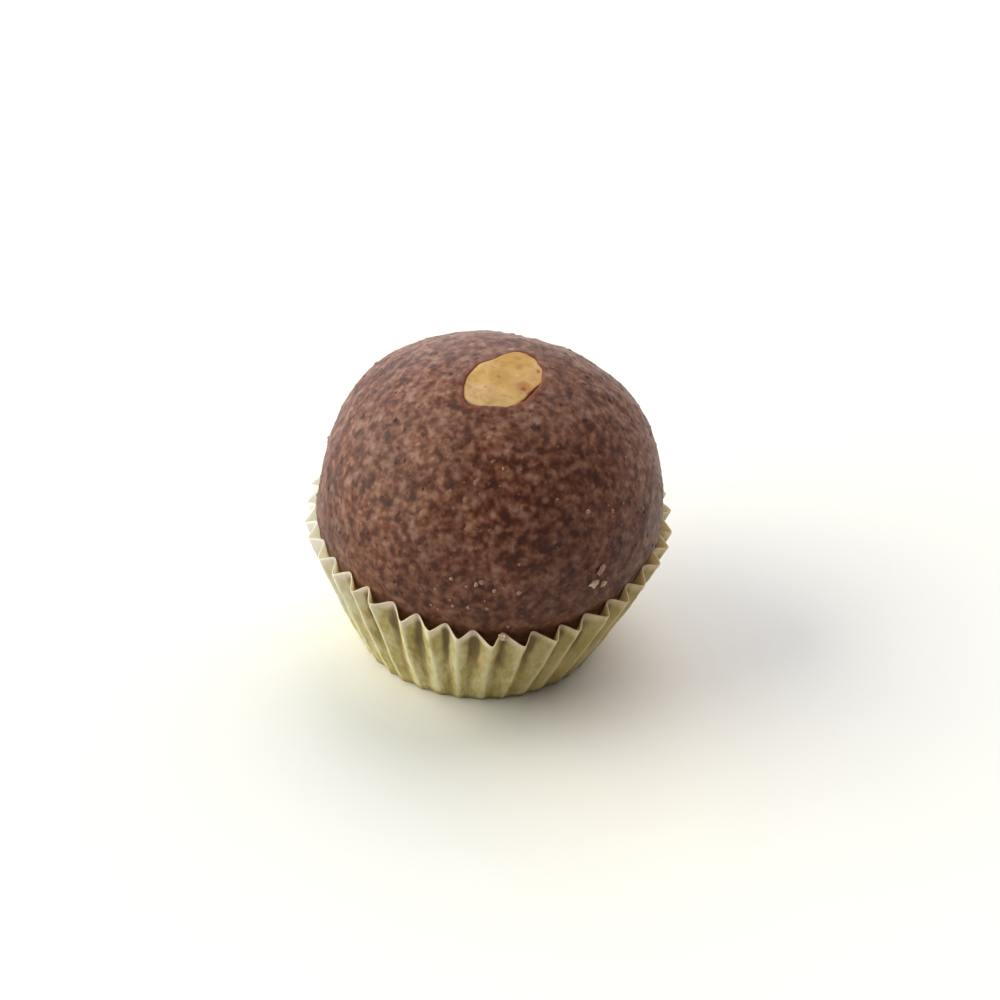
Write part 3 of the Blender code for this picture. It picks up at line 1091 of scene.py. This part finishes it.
grainSizes = {
    "Seed": 4,
    "Spacing": 0.00125,
    "Density": 0.9e6,
    "Lowest": 0.0130,
    "Highest": mealLook["highest"],
    "Least Radius": 0.00030,
    "Most Radius": 0.00052,
    "Sunk": 0.88,
    "Knead": 0.00016,
    "Least Free": 0.6,           # 1 where the skin is open, and less beside the nut and the paper
}
coarseSizes = {
    **grainSizes,
    "Seed": 9,
    "Spacing": 0.0026,
    "Density": 0.12e6,
    "Least Radius": 0.00050,
    "Most Radius": 0.00085,
    "Knead": 0.00030,
    "Least Free": 0.9,           # none stands up beside the nut
}
sugarSizes = {
    **grainSizes,
    "Seed": 21,
    "Spacing": 0.0040,
    "Density": 0.03e6,
    "Least Radius": 0.00010,
    "Most Radius": 0.00019,
    "Sunk": 0.3,
    "Knead": 0.00004,
}
grain = grainFinish()
sugar = toneFinish("sugar", ((0.0, (112, 76, 66)), (0.5, (130, 95, 85)), (1.0, (158, 126, 114))),
                   roughness=0.5, specular=0.3)
for name, sizes, finish, kind, cut in (
        ("mealGrains", grainSizes, grain, "GeometryNodeMeshUVSphere", {"Segments": 8, "Rings": 5}),
        ("coarseGrains", coarseSizes, grain, "GeometryNodeMeshUVSphere",
         {"Segments": 10, "Rings": 7}),
        ("sugarCrystals", sugarSizes, sugar, "GeometryNodeMeshCube", {"Size": (1.5, 1.3, 1.4)})):
    grains = grown(name, ladooBall, scatterTree(name, sizes, finish, kind, cut), sizes)
    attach(grains, "root")
print("grains made")


# The sugar and the few larger bits that show on the ball, each in its own place

# azimuth from +X and elevation in degrees, length in millimetres and tone of each crystal
sugarSpots = (
    (-101, 11, 0.34, 0.95), (-96, 9, 0.26, 0.75), (-93, 10, 0.44, 1.00), (-91, 11, 0.50, 0.75),
    (-87, 8, 0.36, 0.95), (-84, 9, 0.24, 0.65), (-79, 7, 0.38, 0.85), (-79, 17, 0.28, 0.65),
    (-106, 6, 0.32, 0.65), (-101, 3, 0.25, 0.70), (-100, 1, 0.34, 0.75), (-105, -2, 0.24, 0.65),
    (-95, 1, 0.42, 0.65), (-89, 1, 0.30, 0.70), (-82, -7, 0.30, 0.90), (-51, 29, 0.40, 1.00),
    (-40, 25, 0.36, 1.00), (-34, 25, 0.26, 0.60), (-62, 36, 0.24, 0.70), (-84, 48, 0.30, 0.75),
    (-22, 36, 0.28, 0.70), (-90, 4, 0.20, 0.70), (-148, 9, 0.28, 0.75), (-138, 17, 0.26, 0.65),
)

bitLook = {
    # azimuth from +X and elevation in degrees, then length, width and height in millimetres,
    # turn about the upright in degrees, tone and how much of the height is sunk
    "sugar": [(azimuth, elevation, long, long * 0.78, long * 0.7, number * 37 % 90, shade, 0.45)
              for number, (azimuth, elevation, long, shade) in enumerate(sugarSpots)],
    "nut": (
        (-49.2, 8.0, 1.45, 0.62, 0.60, 30, 0.0, 0.35),
        (-52.3, 3.7, 1.25, 0.95, 0.60, 15, 1.0, 0.35),
        (-48.6, 2.0, 0.80, 0.62, 0.50, 40, 0.8, 0.35),
        (128.0, 38.0, 1.40, 1.00, 0.44, 30, 0.5, 0.70),
        (-83.6, -9.9, 0.86, 0.78, 0.76, 70, 1.2, -0.40),
    ),
    "husk": (
        (-50.2, 5.3, 0.80, 0.50, 0.30, 35, 0.0, 0.80),
        (168.3, 14.8, 0.55, 0.45, 0.40, 0, 0.8, 0.35),
        (-51.0, 8.6, 0.90, 0.34, 0.26, 62, 0.0, 0.75),
    ),
}

fibreLook = {
    "azimuth": -80.3,
    "elevation": 22.9,
    "turn": 76,
    "long": 0.0017,
    "thick": 0.00007,
    "bow": 0.0003,
    "sides": 6,
    "pieces": 10,
    "tone": 0.7,
}


def onBall(azimuth, elevation, turn):
    # a frame on the skin: x along it towards the turn, z outwards
    way = direction(azimuth, elevation)
    upright = Vector((0, 0, 1)).rotation_difference(way).to_matrix().to_4x4()
    level = upright.inverted() @ Vector((0, 0, 1))
    spin = Matrix.Rotation(math.atan2(level.y, level.x) + math.radians(turn - 90), 4, "Z")
    return Matrix.Translation(ballLook["centre"] + way * skinRadius(way)) @ upright @ spin


def keepMesh(name, bm, finish):
    bmesh.ops.recalc_face_normals(bm, faces=bm.faces[:])
    made = placed(name, meshOf(name, bm))
    made.data.shade_smooth()
    made.data.materials.append(finish)
    return made


def makeBits(name, kind, finish, cuts, rough, scale=1.0):
    bm = bmesh.new()
    tone = bm.verts.layers.float.new("tone")
    for number, (azimuth, elevation, long, wide, high, turn, shade, sunk) in enumerate(bitLook[kind]):
        made = bmesh.ops.create_icosphere(bm, subdivisions=cuts, radius=1.0)["verts"]
        place = onBall(azimuth, elevation, turn)
        size = Vector((long, wide, high)) * 0.0005 * scale
        for vert in made:
            vert[tone] = shade
            own = vert.co.copy()
            own *= 1 + rough * noise.noise(own * 1.3 + Vector((number * 7.0, 0, 0)))
            own = own * size
            own.z += size.z * (1 - 2 * sunk)
            vert.co = place @ own
    bits = keepMesh(name, bm, finish)
    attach(bits, "root")


def makeFibre(finish):
    look = fibreLook
    place = onBall(look["azimuth"], look["elevation"], look["turn"])
    bm = bmesh.new()
    tone = bm.verts.layers.float.new("tone")
    rings = []
    for i in range(look["pieces"] + 1):
        part = i / look["pieces"]
        bow = look["bow"] * (1 - (2 * part - 1) ** 2)
        middle = Vector(((part - 0.5) * look["long"], bow, look["thick"] * 0.8))
        thick = look["thick"] * (0.35 + 0.65 * math.sin(math.pi * part) ** 0.5)
        offs = [Vector((0, math.cos(a), math.sin(a))) * thick for a in anglesOf(look["sides"])]
        rings.append([bm.verts.new(place @ (middle + off)) for off in offs])
    for first, second in zip(rings, rings[1:]):
        joinRows(bm, first, second)
    bm.faces.new(rings[0])
    bm.faces.new(rings[-1])
    for vert in bm.verts:
        vert[tone] = look["tone"]
    fibre = keepMesh("huskFibre", bm, finish)
    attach(fibre, "root")


chip = toneFinish("nutChip", ((0.0, (176, 128, 112)), (0.35, (162, 120, 100)),
                              (1.0, (204, 170, 146))), roughness=0.5, mottle=0.30)
husk = toneFinish("husk", ((0.0, (40, 14, 8)), (0.5, (90, 60, 44)), (1.0, (172, 148, 132))),
                  roughness=0.6, mottle=0.1)
makeBits("placedSugar", "sugar", sugar, cuts=2, rough=0.5, scale=1.8)
makeBits("nutChips", "nut", chip, cuts=3, rough=0.8, scale=1.15)
makeBits("huskBits", "husk", husk, cuts=3, rough=0.5)
makeFibre(husk)
print("sugar, chips and husk made")


# Half nut

nutPaints = {
    "pale": linear(195, 163, 120),
    "straw": linear(183, 150, 99),
    "gold": linear(188, 146, 75),
    "deepGold": linear(174, 130, 63),
    "tan": linear(171, 120, 68),
    "peach": linear(186, 138, 84),
    "amber": linear(166, 104, 44),
    "brown": linear(120, 62, 26),
    "umber": linear(134, 97, 42),
    "fleck": linear(164, 116, 61),
    "edge": linear(132, 70, 26),
}

nutMarks = (
    # along and across the nut and reach in millimetres, strength, paint
    (-4.4, 0.5, 3.00, 0.75, "pale"),
    (-4.2, -2.1, 2.20, 0.75, "straw"),
    (-1.4, 2.1, 2.20, 0.60, "gold"),
    (0.2, 0.4, 2.20, 0.70, "deepGold"),
    (0.0, -3.0, 2.20, 0.60, "straw"),
    (3.4, 1.4, 3.10, 0.90, "gold"),
    (1.9, 1.8, 0.80, 0.60, "tan"),
    (3.1, 0.0, 0.90, 0.60, "tan"),
    (4.4, 1.4, 0.80, 0.60, "tan"),
    (3.4, -2.3, 2.20, 0.60, "peach"),
    (0.6, -3.1, 1.50, 0.80, "amber"),
    (0.4, -3.2, 0.55, 0.80, "brown"),
    (-0.26, 0.6, 0.46, 0.80, "umber"),
    (-3.0, 0.5, 0.30, 0.35, "umber"),
    (4.5, -2.2, 0.44, 0.90, "umber"),
)


def nutFinish():
    finish, tree, shader = newFinish("cutNut")
    place = objectPlace(tree)
    drift = noiseAt(place, nutLook["driftSize"])
    colour = ramp(drift, ((0.36, linear(181, 139, 80)), (0.50, linear(192, 154, 94)),
                          (0.64, linear(201, 166, 109))))
    spot = attribute(tree, "spot", "Vector")
    spot = spot + scaled(wobble(place, nutLook["waverSize"]), nutLook["waver"])
    for along, across, reach, strength, paint in nutMarks:
        away = vectorCalc("DISTANCE", spot, (along * 0.001, across * 0.001, 0.0))
        colour = tinted(colour, nutPaints[paint], away, reach * 0.001, reach * 0.00035,
                        strength, smooth=True)
    fine = noiseAt(place, nutLook["fleckSize"], detail=3.0)
    colour = tinted(colour, nutPaints["fleck"], fine, 0.50, 0.68, 0.50)
    edge = attribute(tree, "edge") + remap(fine, 0.3, 0.7, -0.25, 0.25)
    colour = tinted(colour, nutPaints["edge"], edge, 0.35, 1.0, 0.85)
    setFinish(shader, colour, fine, 0.4, 0.00008, Roughness=0.5, Specular_IOR_Level=0.2,
              Subsurface_Weight=0.2, Subsurface_Radius=(1.0, 0.6, 0.3), Subsurface_Scale=0.0006)
    return finish


def ringAt(share):
    # places along the outline, at this share of its reach
    rays = [(nutOutline(angle) * share, angle) for angle in anglesOf(nutLook["sides"])]
    return [(reach * math.cos(angle), reach * math.sin(angle)) for reach, angle in rays]


def dentedHeight(x, y, edge):
    rough = sum(noise.noise(Vector((x, y * stretch, level)) / size) * deep
                for stretch, level, size, deep in nutLook["dents"])
    return faceHeight(x, y) + rough * (1 - edge) - nutLook["edgeRound"] * edge ** 2


def makeNut():
    bm = bmesh.new()
    spot = bm.verts.layers.float_vector.new("spot")
    edgeShare = bm.verts.layers.float.new("edge")

    def addPoint(x, y, z, edge):
        vert = bm.verts.new((x, y, z))
        vert[spot] = (x, y, 0)
        vert[edgeShare] = edge
        return vert

    rows = []
    for ring in range(1, nutLook["faceRings"] + 1):
        share = math.sin(math.pi / 2 * ring / nutLook["faceRings"])
        edge = max(0.0, (share - nutLook["edgeFrom"]) / (1 - nutLook["edgeFrom"]))
        rows.append([addPoint(x, y, dentedHeight(x, y, edge), edge) for x, y in ringAt(share)])
    for share, deep in nutLook["underside"][1:-1]:
        low = -nutLook["edgeRound"] - deep * nutLook["depth"] - nutLook["step"]
        rows.append([addPoint(x, y, low, 1.0) for x, y in ringAt(share)])
    top = addPoint(0, 0, 0, 0.0)
    tip = addPoint(0, 0, -nutLook["depth"], 1.0)
    for i in range(nutLook["sides"]):
        j = (i + 1) % nutLook["sides"]
        bm.faces.new((top, rows[0][i], rows[0][j]))
        bm.faces.new((tip, rows[-1][j], rows[-1][i]))
        for high, low in zip(rows, rows[1:]):
            bm.faces.new((high[j], high[i], low[i], low[j]))
    bm.transform(nutPlace())
    return keepMesh("nutHalf", bm, nutFinish())


nutHalf = makeNut()
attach(nutHalf, "root")
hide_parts("nut_half")
print("nut made")
